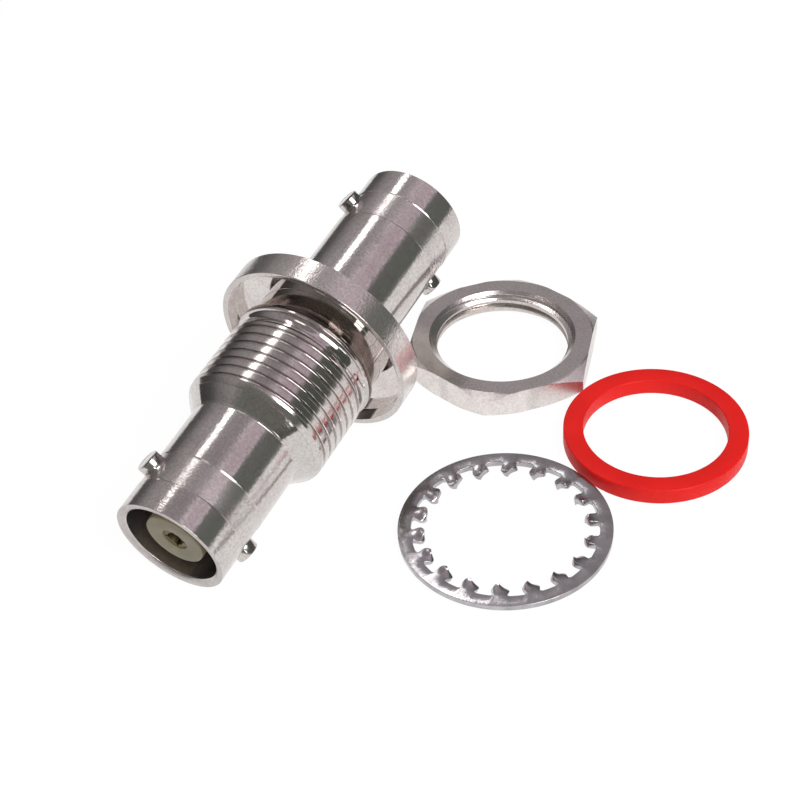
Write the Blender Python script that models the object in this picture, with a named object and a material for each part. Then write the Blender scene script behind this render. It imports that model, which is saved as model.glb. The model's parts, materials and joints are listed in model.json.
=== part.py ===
"""A coaxial panel adapter with a bayonet jack at each end, lying on its side with its loose hardware.

The adapter leans on the rim of its flange and on the rim of its front mouth. Beside it lie the hex nut,
the toothed lock washer and the sealing ring that clamp it in a panel. Each turned piece is drawn as an
outline of (radius, station) points. A station is measured along the adapter's axis from the panel side
of the flange, and grows towards the front mouth.
"""

import math

import bmesh
import bpy
from mathutils import Matrix, Vector

MM = 0.001

# Fits between pieces
FIT = 0.05 * MM
SEAM = 0.05 * MM
OVERRUN = 0.4 * MM
WELD = 0.001 * MM

# Roundness of the turned pieces
TURNED_SIDES = 48
LUG_SIDES = 20
SHARP_ANGLE = math.radians(30)

# Lengths of the adapter, from the panel side of its flange
FRONT_REACH = 21.6 * MM
REAR_REACH = 17.6 * MM

# Bayonet barrel, the same at both ends
BARREL_RADIUS = 4.83 * MM
RIM_EDGE = 0.12 * MM
LUG_BAND_DEPTH = 0.07 * MM
LUG_BAND_LENGTH = 2.85 * MM
LUG_BAND_STEP = 0.08 * MM
BARREL_WALL = 0.77 * MM
MOUTH_CHAMFER = 0.15 * MM
MOUTH_DEPTH = 5.3 * MM
NECK_LENGTH = 1.0 * MM
CORE_BORE_RADIUS = 3.45 * MM
LUG_BAND_RADIUS = BARREL_RADIUS - LUG_BAND_DEPTH
MOUTH_BORE_RADIUS = BARREL_RADIUS - BARREL_WALL

# Bayonet lugs
LUG_RADIUS = 1.0 * MM
LUG_HEIGHT = 0.72 * MM
LUG_EDGE = 0.12 * MM
LUG_SETBACK = 4.1 * MM
LUG_ANGLE = math.radians(41)
LUG_TOP = BARREL_RADIUS + LUG_HEIGHT

# Shank
THREAD_RADIUS = 6.25 * MM
THREAD_LENGTH = 6.5 * MM
THREAD_CHAMFER_LENGTH = 0.45 * MM
THREAD_LEAD_IN = 0.15 * MM
THREAD_PITCH = 0.907 * MM
THREAD_DEPTH = 0.4 * MM
CREST_SHARE = 0.22
FLANK_SHARE = 0.25
THREAD_TURN = math.radians(59)
SHOULDER_LENGTH = 1.3 * MM
COLLAR_START = 1.0 * MM
COLLAR_LENGTH = 0.55 * MM
COLLAR_HEIGHT = 0.05 * MM
RELIEF_LENGTH = 1.1 * MM
RELIEF_DEPTH = 0.3 * MM
RELIEF_SLOPE = 0.25 * MM
UNDERCUT_DEPTH = 0.45 * MM
THREAD_ROOT_RADIUS = THREAD_RADIUS - THREAD_DEPTH
COLLAR_RADIUS = THREAD_RADIUS + COLLAR_HEIGHT
RELIEF_RADIUS = THREAD_RADIUS - RELIEF_DEPTH
UNDERCUT_RADIUS = THREAD_RADIUS - UNDERCUT_DEPTH

# Flange with the seat of the sealing ring
SEAT_WIDTH = 2.45 * MM
SEAT_DEPTH = 1.3 * MM
LIP_WALL = 0.5 * MM
FLANGE_THICKNESS = 2.37 * MM
FLANGE_EDGE = 0.12 * MM
SEAT_RADIUS = UNDERCUT_RADIUS + SEAT_WIDTH
FLANGE_RADIUS = SEAT_RADIUS + LIP_WALL

# Joint between the two barrels
SPIGOT_WALL = 0.5 * MM
SPIGOT_LENGTH = 6.3 * MM
SPIGOT_RADIUS = CORE_BORE_RADIUS + SPIGOT_WALL

# Insulators
NOSE_RADIUS = 2.55 * MM
NOSE_RECESS = 0.65 * MM
NOSE_EDGE = 0.1 * MM

# Double-ended centre contact
CONTACT_WALL = 0.37 * MM
CONTACT_RECESS = 0.15 * MM
SOCKET_RADIUS = 0.68 * MM
SOCKET_DEPTH = 4.5 * MM
SLOT_WIDTH = 0.25 * MM
SLOT_LENGTH = 4.0 * MM
CONTACT_COLLAR_RADIUS = 1.6 * MM
CONTACT_COLLAR_LENGTH = 1.2 * MM
CONTACT_RADIUS = SOCKET_RADIUS + CONTACT_WALL

# Hex nut
NUT_WALL = 2.05 * MM
NUT_THICKNESS = 2.4 * MM
NUT_FACE_MARGIN = 0.1 * MM
NUT_CHAMFER_ANGLE = math.radians(31)
NUT_THREAD_DEPTH = 0.35 * MM
NUT_COUNTERSINK = 0.6 * MM
NUT_TURN = math.radians(17)
NUT_BORE_RADIUS = THREAD_RADIUS - NUT_THREAD_DEPTH
NUT_FLAT_RADIUS = NUT_BORE_RADIUS + NUT_WALL
NUT_CORNER_RADIUS = NUT_FLAT_RADIUS / math.cos(math.pi / 6)
NUT_FACE_RADIUS = NUT_FLAT_RADIUS + NUT_FACE_MARGIN

# Lock washer with inner teeth
WASHER_CLEARANCE = 0.23 * MM
WASHER_RIM_WIDTH = 0.92 * MM
WASHER_THICKNESS = 0.5 * MM
TOOTH_COUNT = 18
TOOTH_LENGTH = 1.22 * MM
TOOTH_ROOT_WIDTH = 1.5 * MM
TOOTH_TIP_WIDTH = 1.15 * MM
TOOTH_TWIST = math.radians(-32)
TOOTH_TWIST_SHARES = (0.45, 0.75, 1.0)
GAP_SIDES = 3
WASHER_TURN = math.radians(4.1)
WASHER_TIP_RADIUS = THREAD_RADIUS + WASHER_CLEARANCE
WASHER_ROOT_RADIUS = WASHER_TIP_RADIUS + TOOTH_LENGTH
WASHER_RADIUS = WASHER_ROOT_RADIUS + WASHER_RIM_WIDTH

# Sealing ring
GASKET_PLAY = 0.51 * MM
GASKET_BORE_PLAY = 0.26 * MM
GASKET_THICKNESS = 1.48 * MM
GASKET_EDGE = 0.14 * MM
GASKET_RADIUS = SEAT_RADIUS - GASKET_PLAY
GASKET_BORE_RADIUS = UNDERCUT_RADIUS + GASKET_BORE_PLAY

# How the loose hardware lies, each piece beside the one before it
WASHER_AHEAD = 4.18 * MM
WASHER_GAP = 2.7 * MM
GASKET_BEARING = math.radians(157.76)
GASKET_GAP = 0.31 * MM
NUT_BEARING = math.radians(255.01)
NUT_GAP = 0.44 * MM

# Colours
NICKEL = (0.56, 0.53, 0.54)
STEEL = (0.36, 0.34, 0.33)
SILICONE_RED = (0.78, 0.035, 0.03)
FLUOROPOLYMER = (0.74, 0.71, 0.64)
GOLD = (0.83, 0.6, 0.24)


def clear_scene():
    for item in list(bpy.data.objects):
        bpy.data.objects.remove(item)


def finish(name, colour, roughness, metallic):
    """A plain material of one colour."""
    material = bpy.data.materials.new(name)
    material.use_nodes = True
    shader = material.node_tree.nodes["Principled BSDF"]
    shader.inputs["Base Color"].default_value = (*colour, 1)
    shader.inputs["Roughness"].default_value = roughness
    shader.inputs["Metallic"].default_value = metallic
    return material


def empty(name, parent=None):
    item = bpy.data.objects.new(name, None)
    bpy.context.scene.collection.objects.link(item)
    item.parent = parent
    return item


def piece(name, shape, parent, material=None):
    """Turns a bmesh into a named object under the given parent."""
    bmesh.ops.recalc_face_normals(shape, faces=shape.faces[:])
    mesh = bpy.data.meshes.new(name)
    shape.to_mesh(mesh)
    shape.free()
    mesh.shade_smooth()
    mesh.set_sharp_from_angle(angle=SHARP_ANGLE)
    if material:
        mesh.materials.append(material)
    item = bpy.data.objects.new(name, mesh)
    bpy.context.scene.collection.objects.link(item)
    item.parent = parent
    return item


def turned(outline, sides=TURNED_SIDES, closed=True):
    """Spins an outline of (radius, station) points once around the Z axis."""
    shape = bmesh.new()
    points = [shape.verts.new((radius, 0, station)) for radius, station in outline]
    ends = points[1:] + points[:1] if closed else points[1:]
    edges = [shape.edges.new(pair) for pair in zip(points, ends)]
    bmesh.ops.spin(
        shape,
        geom=points + edges,
        cent=(0, 0, 0),
        axis=(0, 0, 1),
        angle=2 * math.pi,
        steps=sides,
        use_merge=True,
    )
    bmesh.ops.remove_doubles(shape, verts=shape.verts[:], dist=WELD)
    return shape


def block(size, centre):
    shape = bmesh.new()
    bmesh.ops.create_cube(shape, size=1, matrix=Matrix.LocRotScale(Vector(centre), None, Vector(size)))
    return shape


def as_tool(item):
    """Hides a shape that only serves a Boolean."""
    item.hide_render = True
    item.display_type = "WIRE"
    return item


def combine(target, tool, operation):
    modifier = target.modifiers.new(f"{operation.lower()} {tool.name}", "BOOLEAN")
    modifier.operation = operation
    modifier.object = as_tool(tool)


def mouth_station(way):
    """The station of the front mouth (way 1) or of the rear mouth (way -1)."""
    return FRONT_REACH if way > 0 else -REAR_REACH


def neck_station(way):
    """The inner face of the neck that keeps an insulator in."""
    return mouth_station(way) - way * (MOUTH_DEPTH + NECK_LENGTH)


def barrel_outside(way):
    """The outside of a bayonet barrel, from its mouth to the rear of its lug band."""
    mouth = mouth_station(way)
    band_front = mouth - way * (LUG_SETBACK - LUG_BAND_LENGTH / 2)
    band_rear = band_front - way * LUG_BAND_LENGTH
    return [
        (MOUTH_BORE_RADIUS + MOUTH_CHAMFER, mouth),
        (BARREL_RADIUS - RIM_EDGE, mouth),
        (BARREL_RADIUS, mouth - way * RIM_EDGE),
        (BARREL_RADIUS, band_front),
        (LUG_BAND_RADIUS, band_front - way * LUG_BAND_STEP),
        (LUG_BAND_RADIUS, band_rear + way * LUG_BAND_STEP),
        (BARREL_RADIUS, band_rear),
    ]


def barrel_inside(way):
    """The inside of a bayonet barrel, from its core bore out to its mouth."""
    mouth = mouth_station(way)
    neck = neck_station(way)
    neck_radius = NOSE_RADIUS + 2 * FIT
    return [
        (CORE_BORE_RADIUS, neck),
        (neck_radius, neck),
        (neck_radius, neck + way * NECK_LENGTH),
        (MOUTH_BORE_RADIUS, neck + way * NECK_LENGTH),
        (MOUTH_BORE_RADIUS, mouth - way * MOUTH_CHAMFER),
    ]


def add_lugs(barrel, name, way, connector):
    """Joins the two lugs to a barrel, their roots buried in its wall."""
    root = (MOUTH_BORE_RADIUS + LUG_BAND_RADIUS) / 2
    outline = [
        (0, root),
        (LUG_RADIUS, root),
        (LUG_RADIUS, LUG_TOP - LUG_EDGE),
        (LUG_RADIUS - LUG_EDGE, LUG_TOP),
        (0, LUG_TOP),
    ]
    for side in range(2):
        lug = piece(f"{name}_lug_{side + 1}", turned(outline, LUG_SIDES, closed=False), connector)
        lug.location.z = mouth_station(way) - way * LUG_SETBACK
        lug.rotation_euler = (0, math.pi / 2, LUG_ANGLE + side * math.pi)
        combine(barrel, lug, "UNION")


def thread_height(station, start, end):
    """The most that a thread turned down at both ends may stand above its root."""
    lead_in = (station - start) / THREAD_LEAD_IN
    chamfer = (end - station) / THREAD_CHAMFER_LENGTH
    return THREAD_DEPTH * min(1, lead_in, chamfer)


def cut_thread(shape, start, end):
    """Joins two rings of root radius with a right-hand thread, turned down to the root at both ends."""
    profile = (
        (0, 0),
        (FLANK_SHARE, THREAD_DEPTH),
        (FLANK_SHARE + CREST_SHARE, THREAD_DEPTH),
        (2 * FLANK_SHARE + CREST_SHARE, 0),
    )
    turns = math.ceil((end - start) / THREAD_PITCH)
    columns = []
    for side in range(TURNED_SIDES + 1):
        angle = 2 * math.pi * side / TURNED_SIDES
        first_share = (angle + THREAD_TURN) / (2 * math.pi)
        column = []
        for turn in range(-2, turns + 1):
            for pitch_share, height in profile:
                station = start + THREAD_PITCH * (turn + first_share + pitch_share)
                station = min(max(station, start), end)
                radius = THREAD_ROOT_RADIUS + min(height, thread_height(station, start, end))
                column.append(shape.verts.new((radius * math.cos(angle), radius * math.sin(angle), station)))
        columns.append(column)
    for here, after in zip(columns, columns[1:]):
        for step in range(len(here) - 1):
            shape.faces.new((here[step], after[step], after[step + 1], here[step + 1]))
    bmesh.ops.remove_doubles(shape, verts=shape.verts[:], dist=WELD)


def front_shell(connector, material):
    """Flange, threaded shank and front barrel, turned from one bar."""
    socket_end = SPIGOT_LENGTH - FLANGE_THICKNESS
    collar_end = COLLAR_START + COLLAR_LENGTH
    thread_start = collar_end + RELIEF_LENGTH
    thread_end = thread_start + THREAD_LENGTH + THREAD_CHAMFER_LENGTH
    collar = [
        (THREAD_ROOT_RADIUS, thread_start),
        (RELIEF_RADIUS, thread_start - RELIEF_SLOPE),
        (RELIEF_RADIUS, collar_end + RELIEF_SLOPE),
        (COLLAR_RADIUS, collar_end),
        (COLLAR_RADIUS, COLLAR_START),
        (UNDERCUT_RADIUS, COLLAR_START),
    ]
    flange = [
        (UNDERCUT_RADIUS, -SEAT_DEPTH),
        (SEAT_RADIUS, -SEAT_DEPTH),
        (SEAT_RADIUS, 0),
        (FLANGE_RADIUS - FLANGE_EDGE, 0),
        (FLANGE_RADIUS, -FLANGE_EDGE),
        (FLANGE_RADIUS, FLANGE_EDGE - FLANGE_THICKNESS),
        (FLANGE_RADIUS - FLANGE_EDGE, -FLANGE_THICKNESS),
    ]
    socket = [
        (SPIGOT_RADIUS + FIT, -FLANGE_THICKNESS),
        (SPIGOT_RADIUS + FIT, socket_end),
        (CORE_BORE_RADIUS, socket_end),
    ]
    shoulder = [
        (BARREL_RADIUS, thread_end + SHOULDER_LENGTH),
        (THREAD_ROOT_RADIUS, thread_end),
    ]
    outline = collar + flange + socket + barrel_inside(1) + barrel_outside(1) + shoulder
    shape = turned(outline, closed=False)
    cut_thread(shape, thread_start, thread_end)
    shell = piece("front_shell", shape, connector, material)
    add_lugs(shell, "front", 1, connector)


def rear_barrel(connector, material):
    """The rear barrel, whose spigot is pressed into the flange."""
    shoulder = -FLANGE_THICKNESS - SEAM
    spigot_end = SPIGOT_LENGTH - FLANGE_THICKNESS - SEAM
    spigot = [
        (BARREL_RADIUS, shoulder),
        (SPIGOT_RADIUS, shoulder),
        (SPIGOT_RADIUS, spigot_end),
        (CORE_BORE_RADIUS, spigot_end),
    ]
    outline = barrel_outside(-1) + spigot + barrel_inside(-1)
    barrel = piece("rear_barrel", turned(outline), connector, material)
    add_lugs(barrel, "rear", -1, connector)


def contact_middle():
    """The station where the two insulators meet."""
    return (neck_station(1) + neck_station(-1)) / 2


def insulator(name, way, connector, material):
    """A bush that fills the core bore, with a nose that stands in the mouth."""
    middle = contact_middle()
    shoulder = neck_station(way) - way * SEAM
    tip = mouth_station(way) - way * NOSE_RECESS
    bore = CONTACT_RADIUS + FIT
    collar_end = middle + way * (CONTACT_COLLAR_LENGTH / 2 + SEAM)
    outline = [
        (bore, tip),
        (NOSE_RADIUS - NOSE_EDGE, tip),
        (NOSE_RADIUS, tip - way * NOSE_EDGE),
        (NOSE_RADIUS, shoulder),
        (CORE_BORE_RADIUS - FIT, shoulder),
        (CORE_BORE_RADIUS - FIT, middle + way * SEAM / 2),
        (CONTACT_COLLAR_RADIUS + FIT, middle + way * SEAM / 2),
        (CONTACT_COLLAR_RADIUS + FIT, collar_end),
        (bore, collar_end),
    ]
    piece(name, turned(outline), connector, material)


def contact_tip(way):
    return mouth_station(way) - way * (NOSE_RECESS + CONTACT_RECESS)


def centre_contact(connector, material):
    """A pin with a slotted socket at each end and a collar between the insulators."""
    middle = contact_middle()
    front = contact_tip(1)
    rear = contact_tip(-1)
    collar = CONTACT_COLLAR_LENGTH / 2
    outline = [
        (0, front - SOCKET_DEPTH),
        (SOCKET_RADIUS, front - SOCKET_DEPTH),
        (SOCKET_RADIUS, front),
        (CONTACT_RADIUS, front),
        (CONTACT_RADIUS, middle + collar),
        (CONTACT_COLLAR_RADIUS, middle + collar),
        (CONTACT_COLLAR_RADIUS, middle - collar),
        (CONTACT_RADIUS, middle - collar),
        (CONTACT_RADIUS, rear),
        (SOCKET_RADIUS, rear),
        (SOCKET_RADIUS, rear + SOCKET_DEPTH),
        (0, rear + SOCKET_DEPTH),
    ]
    contact = piece("centre_contact", turned(outline, closed=False), connector, material)
    across = 2 * (CONTACT_RADIUS + OVERRUN)
    length = SLOT_LENGTH + OVERRUN
    for way, end in ((1, "front"), (-1, "rear")):
        centre = (0, 0, contact_tip(way) - way * (SLOT_LENGTH - OVERRUN) / 2)
        for number, size in enumerate(((across, SLOT_WIDTH, length), (SLOT_WIDTH, across, length))):
            slot = piece(f"{end}_slot_{number + 1}", block(size, centre), connector)
            combine(contact, slot, "DIFFERENCE")


def hex_nut(place, assembly, material):
    """A hexagon with its corners turned off on both faces and a countersunk bore.

    A cone primitive has its first corner on +Y, so the turn is counted from there.
    """
    middle = Matrix.Translation((0, 0, NUT_THICKNESS / 2))
    shape = bmesh.new()
    bmesh.ops.create_cone(
        shape,
        cap_ends=True,
        segments=6,
        radius1=NUT_CORNER_RADIUS,
        radius2=NUT_CORNER_RADIUS,
        depth=NUT_THICKNESS + 2 * OVERRUN,
        matrix=middle @ Matrix.Rotation(NUT_TURN - math.pi / 2, 4, "Z"),
    )
    nut = piece("hex_nut", shape, assembly, material)
    nut.location = (*place, 0)
    reach = NUT_CORNER_RADIUS + OVERRUN
    rise = (reach - NUT_FACE_RADIUS) * math.tan(NUT_CHAMFER_ANGLE)
    envelope = [
        (0, 0),
        (NUT_FACE_RADIUS, 0),
        (reach, rise),
        (reach, NUT_THICKNESS - rise),
        (NUT_FACE_RADIUS, NUT_THICKNESS),
        (0, NUT_THICKNESS),
    ]
    flare = NUT_COUNTERSINK + OVERRUN
    bore = [
        (0, -OVERRUN),
        (NUT_BORE_RADIUS + flare, -OVERRUN),
        (NUT_BORE_RADIUS, NUT_COUNTERSINK),
        (NUT_BORE_RADIUS, NUT_THICKNESS - NUT_COUNTERSINK),
        (NUT_BORE_RADIUS + flare, NUT_THICKNESS + OVERRUN),
        (0, NUT_THICKNESS + OVERRUN),
    ]
    for name, outline, operation in (("envelope", envelope, "INTERSECT"), ("bore", bore, "DIFFERENCE")):
        tool = piece(f"nut_{name}", turned(outline, closed=False), assembly)
        tool.location = nut.location
        combine(nut, tool, operation)


def tooth_section(angle, share):
    """Four corners across a tooth, the given share of its length in from its root."""
    radius = WASHER_ROOT_RADIUS + (WASHER_TIP_RADIUS - WASHER_ROOT_RADIUS) * share
    width = TOOTH_ROOT_WIDTH + (TOOTH_TIP_WIDTH - TOOTH_ROOT_WIDTH) * share
    twist = Matrix.Rotation(TOOTH_TWIST * share, 3, "X")
    place = Matrix.Rotation(angle, 3, "Z")
    corners = []
    for across, up in ((-1, -1), (1, -1), (1, 1), (-1, 1)):
        corner = twist @ Vector((0, across * width / 2, up * WASHER_THICKNESS / 2))
        corners.append(place @ (corner + Vector((radius, 0, 0))))
    return corners


def loft(shape, first, second):
    """Joins two loops of as many vertices with a band of quads."""
    for here in range(len(first)):
        after = (here + 1) % len(first)
        shape.faces.new((first[here], first[after], second[after], second[here]))


def rim_section(shape, angle):
    """Four corners across the washer's rim, at an angle round it."""
    inner, outer, half = WASHER_ROOT_RADIUS, WASHER_RADIUS, WASHER_THICKNESS / 2
    section = ((inner, -half), (outer, -half), (outer, half), (inner, half))
    return [shape.verts.new((r * math.cos(angle), r * math.sin(angle), z)) for r, z in section]


def lock_washer(place, assembly, material):
    """A thin ring whose inner teeth are twisted out of its plane."""
    pitch = 2 * math.pi / TOOTH_COUNT
    tooth_half = math.asin(TOOTH_ROOT_WIDTH / 2 / WASHER_ROOT_RADIUS)
    shape = bmesh.new()
    sections = []
    for tooth in range(TOOTH_COUNT):
        for step in range(GAP_SIDES + 1):
            angle = tooth * pitch + tooth_half + (pitch - 2 * tooth_half) * step / GAP_SIDES
            sections.append(rim_section(shape, angle))
    for number, section in enumerate(sections):
        after = sections[(number + 1) % len(sections)]
        next_tooth = number % (GAP_SIDES + 1) == GAP_SIDES
        for here in range(4):
            inner_wall = here == 3
            if not (inner_wall and next_tooth):
                shape.faces.new((section[here], section[(here + 1) % 4], after[(here + 1) % 4], after[here]))
        if next_tooth:
            angle = (number // (GAP_SIDES + 1) + 1) * pitch
            loop = [section[0], after[0], after[3], section[3]]
            for share in TOOTH_TWIST_SHARES:
                corners = [shape.verts.new(corner) for corner in tooth_section(angle, share)]
                loft(shape, loop, corners)
                loop = corners
            shape.faces.new(loop)
    bmesh.ops.triangulate(shape, faces=shape.faces[:])
    washer = piece("lock_washer", shape, assembly, material)
    lowest = min(vertex.co.z for vertex in washer.data.vertices)
    washer.location = (*place, -lowest)
    washer.rotation_euler.z = WASHER_TURN


def gasket(place, assembly, material):
    """A flat ring with softened edges."""
    bore, edge = GASKET_BORE_RADIUS, GASKET_EDGE
    outline = [
        (bore + edge, 0),
        (GASKET_RADIUS - edge, 0),
        (GASKET_RADIUS, edge),
        (GASKET_RADIUS, GASKET_THICKNESS - edge),
        (GASKET_RADIUS - edge, GASKET_THICKNESS),
        (bore + edge, GASKET_THICKNESS),
        (bore, GASKET_THICKNESS - edge),
        (bore, edge),
    ]
    ring = piece("gasket", turned(outline), assembly, material)
    ring.location = (*place, 0)


def beside(place, bearing, distance):
    """The point at a distance from a place on the ground, in the direction of a bearing."""
    return Vector(place) + distance * Vector((math.cos(bearing), math.sin(bearing)))


def lay_down(connector):
    """Leans the adapter on the rims of its flange and of its front mouth."""
    span = FRONT_REACH - RIM_EDGE + FLANGE_EDGE
    lean = math.atan((FLANGE_RADIUS - BARREL_RADIUS) / span)
    connector.rotation_euler = (0, math.pi / 2 + lean, 0)
    connector.location.z = FLANGE_RADIUS * math.cos(lean) - FLANGE_EDGE * math.sin(lean)


def centre_on_ground(assembly):
    """Moves everything sideways until the origin is under the middle of its bounding box."""
    bpy.context.view_layer.update()
    view = bpy.context.evaluated_depsgraph_get()
    places = []
    for item in bpy.context.scene.objects:
        if item.type == "MESH" and not item.hide_render:
            solid = item.evaluated_get(view)
            places += [solid.matrix_world @ vertex.co for vertex in solid.data.vertices]
    for axis in range(2):
        low = min(place[axis] for place in places)
        high = max(place[axis] for place in places)
        assembly.location[axis] = -(low + high) / 2


def main():
    clear_scene()
    nickel = finish("nickel plate", NICKEL, 0.2, 1)
    steel = finish("washer steel", STEEL, 0.35, 1)
    red = finish("red silicone", SILICONE_RED, 0.45, 0)
    white = finish("white insulator", FLUOROPOLYMER, 0.5, 0)
    gold = finish("gold contact", GOLD, 0.25, 1)
    assembly = empty("assembly")
    connector = empty("connector", assembly)
    front_shell(connector, nickel)
    rear_barrel(connector, nickel)
    insulator("front_insulator", 1, connector, white)
    insulator("rear_insulator", -1, connector, white)
    centre_contact(connector, gold)
    lay_down(connector)
    washer_place = Vector((WASHER_AHEAD, FLANGE_RADIUS + WASHER_GAP + WASHER_RADIUS))
    gasket_place = beside(washer_place, GASKET_BEARING, WASHER_RADIUS + GASKET_GAP + GASKET_RADIUS)
    nut_place = beside(gasket_place, NUT_BEARING, GASKET_RADIUS + NUT_GAP + NUT_CORNER_RADIUS)
    hex_nut(nut_place, assembly, nickel)
    lock_washer(washer_place, assembly, steel)
    gasket(gasket_place, assembly, red)
    centre_on_ground(assembly)


main()
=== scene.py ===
import json
import math

import bpy
from bpy.props import FloatProperty, FloatVectorProperty, IntProperty, PointerProperty
from mathutils import Matrix, Vector


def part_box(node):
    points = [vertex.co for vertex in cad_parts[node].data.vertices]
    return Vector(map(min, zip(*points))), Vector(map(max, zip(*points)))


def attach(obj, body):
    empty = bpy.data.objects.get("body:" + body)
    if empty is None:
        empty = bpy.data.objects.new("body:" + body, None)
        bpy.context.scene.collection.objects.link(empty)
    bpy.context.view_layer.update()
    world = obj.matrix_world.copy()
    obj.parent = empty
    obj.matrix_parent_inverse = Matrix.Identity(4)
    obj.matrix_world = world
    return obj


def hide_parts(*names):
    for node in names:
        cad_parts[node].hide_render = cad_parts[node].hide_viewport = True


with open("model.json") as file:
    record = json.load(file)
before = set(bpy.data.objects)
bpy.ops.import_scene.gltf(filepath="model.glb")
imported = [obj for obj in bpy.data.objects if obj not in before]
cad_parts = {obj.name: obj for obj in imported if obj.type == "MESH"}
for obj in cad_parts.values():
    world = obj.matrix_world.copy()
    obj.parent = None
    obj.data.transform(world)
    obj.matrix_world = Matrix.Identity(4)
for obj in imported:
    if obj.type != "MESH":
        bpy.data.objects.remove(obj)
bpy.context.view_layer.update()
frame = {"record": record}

# A coaxial panel adapter with a bayonet jack at each end leans on its flange, with its hex nut, toothed lock
# washer and sealing ring flat beside it. Turned pieces are drawn as outlines of (radius, station) points,
# spun on a lathe axis along Z, and laid in place when they are finished. A station is measured along the
# adapter from the panel side of its flange, and grows towards the front mouth.

bl_info = {
    "name": "Bayonet panel adapter",
    "version": (1, 0, 0),
    "blender": (4, 5, 0),
    "location": "View3D > Sidebar > Adapter",
    "description": "Builds a bayonet panel adapter with its nut, lock washer and sealing ring",
    "category": "Object",
}

MM = 0.001
WELD = 0.0002 * MM


# Fixed sizes of the adapter: radii and stations, and depths measured from a mouth

FRONT_REACH = 21.6 * MM
REAR_REACH = 17.6 * MM
RIM_SLOPE = 0.3 * MM
RIM_SETBACK = 0.22 * MM
BAND_FRONT, BAND_REAR, BAND_STEP = 2.675 * MM, 5.525 * MM, 0.06 * MM
MOUTH_DEPTH, NECK_DEPTH = 5.3 * MM, 6.3 * MM
NECK_RADIUS, CORE_RADIUS = 2.65 * MM, 3.45 * MM
LUG_ROOT, LUG_SETBACK = 4.4 * MM, 4.1 * MM
LUG_ANGLE = math.radians(41)
LUG_ROUND, LUG_STEPS = 0.05 * MM, 40
CONE_FRONT = 10.9 * MM
SHANK_FOOT, SEAT_DEPTH = 5.8 * MM, 1.3 * MM
FLANGE_THICKNESS = 2.37 * MM
SPIGOT_HOLE, SPIGOT_STOP = 4.0 * MM, 3.93 * MM
SPIGOT_RADIUS, SPIGOT_END = 3.95 * MM, 3.88 * MM
SPIGOT_SHOULDER = 2.42 * MM
NOSE_RADIUS, NOSE_RECESS = 2.55 * MM, 0.65 * MM
BUSH_RADIUS, SHOULDER_DEPTH = 3.4 * MM, 6.35 * MM
BUSH_MEETING, BUSH_GAP = 2.0 * MM, 0.025 * MM
BUSH_BORE = 1.1 * MM
BUSH_ROUND, BUSH_STEPS = 0.08 * MM, 96
POCKET_RADIUS, POCKET_DEPTH = 1.65 * MM, 0.625 * MM
PIN_RADIUS, PIN_RECESS = 1.05 * MM, 0.8 * MM
SOCKET_RADIUS, SOCKET_DEPTH = 0.68 * MM, 4.5 * MM
PIN_COLLAR = 1.6 * MM
PIN_COLLAR_REAR, PIN_COLLAR_FRONT = 1.4 * MM, 2.6 * MM
PIN_ROUND, PIN_STEPS = 0.04 * MM, 64
SAW_REACH = 3 * MM
SLOT_WIDTH, SLOT_MIDDLE, SLOT_LENGTH = 0.16 * MM, 1.8 * MM, 4.4 * MM

# From the rear of the cone to the foot of the shank, in millimetres: the core under the thread, the relief
# groove and the collar
SHANK_OUTLINE = (
    (5.9, 9.6), (5.7, 9.58), (5.7, 2.7), (5.98, 2.66), (5.94, 2.4), (5.93, 2.1), (5.97, 1.82), (6.1, 1.62),
    (6.3, 1.55), (6.3, 1.0), (5.8, 0.95),
)

# Thread: slope and rounding of its flanks, the station of a crest, and its ends as (station, chamfer's
# length, chamfer's radius)
FLANK_SLOPE = math.radians(18)
THREAD_CROWN = 0.03 * MM
CREST_STATION = 0.721 * MM
THREAD_REAR = (2.74 * MM, 0.16 * MM, 5.95 * MM)
THREAD_FRONT = (9.6 * MM, 0.45 * MM, 5.9 * MM)
THREAD_CORE = 5.2 * MM
THREAD_STEPS, TAP_STEPS = 120, 72

# Fixed sizes of the hardware: the nut's blank, its turned corners, its tap and the flares of its bore, then
# the ring and the washer
BLANK_SPARE = 0.8 * MM
CORNER_SLOPE = math.radians(31)
CORNER_LAND, CORNER_REACH = 0.1 * MM, 0.4 * MM
TAP_PLAY, TAP_ROOT, TAP_CREST_SHARE = 0.05 * MM, 5.9 * MM, 0.3
TAP_START, TAP_OVERRUN = -2.0 * MM, 1.0 * MM
FLARE_WIDE, FLARE_NARROW = 6.85 * MM, 5.85 * MM
FLARE_BEFORE, FLARE_INTO = 0.3 * MM, 0.7 * MM
RING_ROUND, RING_STEPS = 0.12 * MM, 144
WASHER_ROUND, WASHER_CORNER = 0.07 * MM, math.radians(40)

# A tooth grows out of faces of the washer's inner wall: how many steps its sector has, how many steps from
# the sector's middle the faces lie at most, and how near the root radius
SECTOR_STEPS, TOOTH_STEPS = 9, 2.1
WALL_PLAY = 0.05 * MM
# Shares of a tooth's length, each with the share of its first width that is left there
TOOTH_SHARES = (
    (0.1, 0.74), (0.3, 0.78), (0.5, 0.88), (0.66, 0.92), (0.79, 0.86), (0.89, 0.72), (0.96, 0.52), (1.0, 0.3),
)

# Places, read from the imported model

MOUNTS = {mount["name"]: mount for mount in frame["record"]["mounts"]}
AXIS = Vector(MOUNTS["front_mouth"]["axis"])
ACROSS = Vector((-AXIS.z, 0, AXIS.x))
LEAN = math.atan2(-AXIS.z, AXIS.x)
# The mount lies on the front rim, this far from the axis
MOUTH_MARK = 4.45 * MM
FLANGE_CENTRE = Vector(MOUNTS["front_mouth"]["pos_m"]) - ACROSS * MOUTH_MARK - AXIS * FRONT_REACH
ADAPTER_TURN = (0, math.pi / 2 + LEAN, 0)
FLAT = (0, 0, 0)

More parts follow.
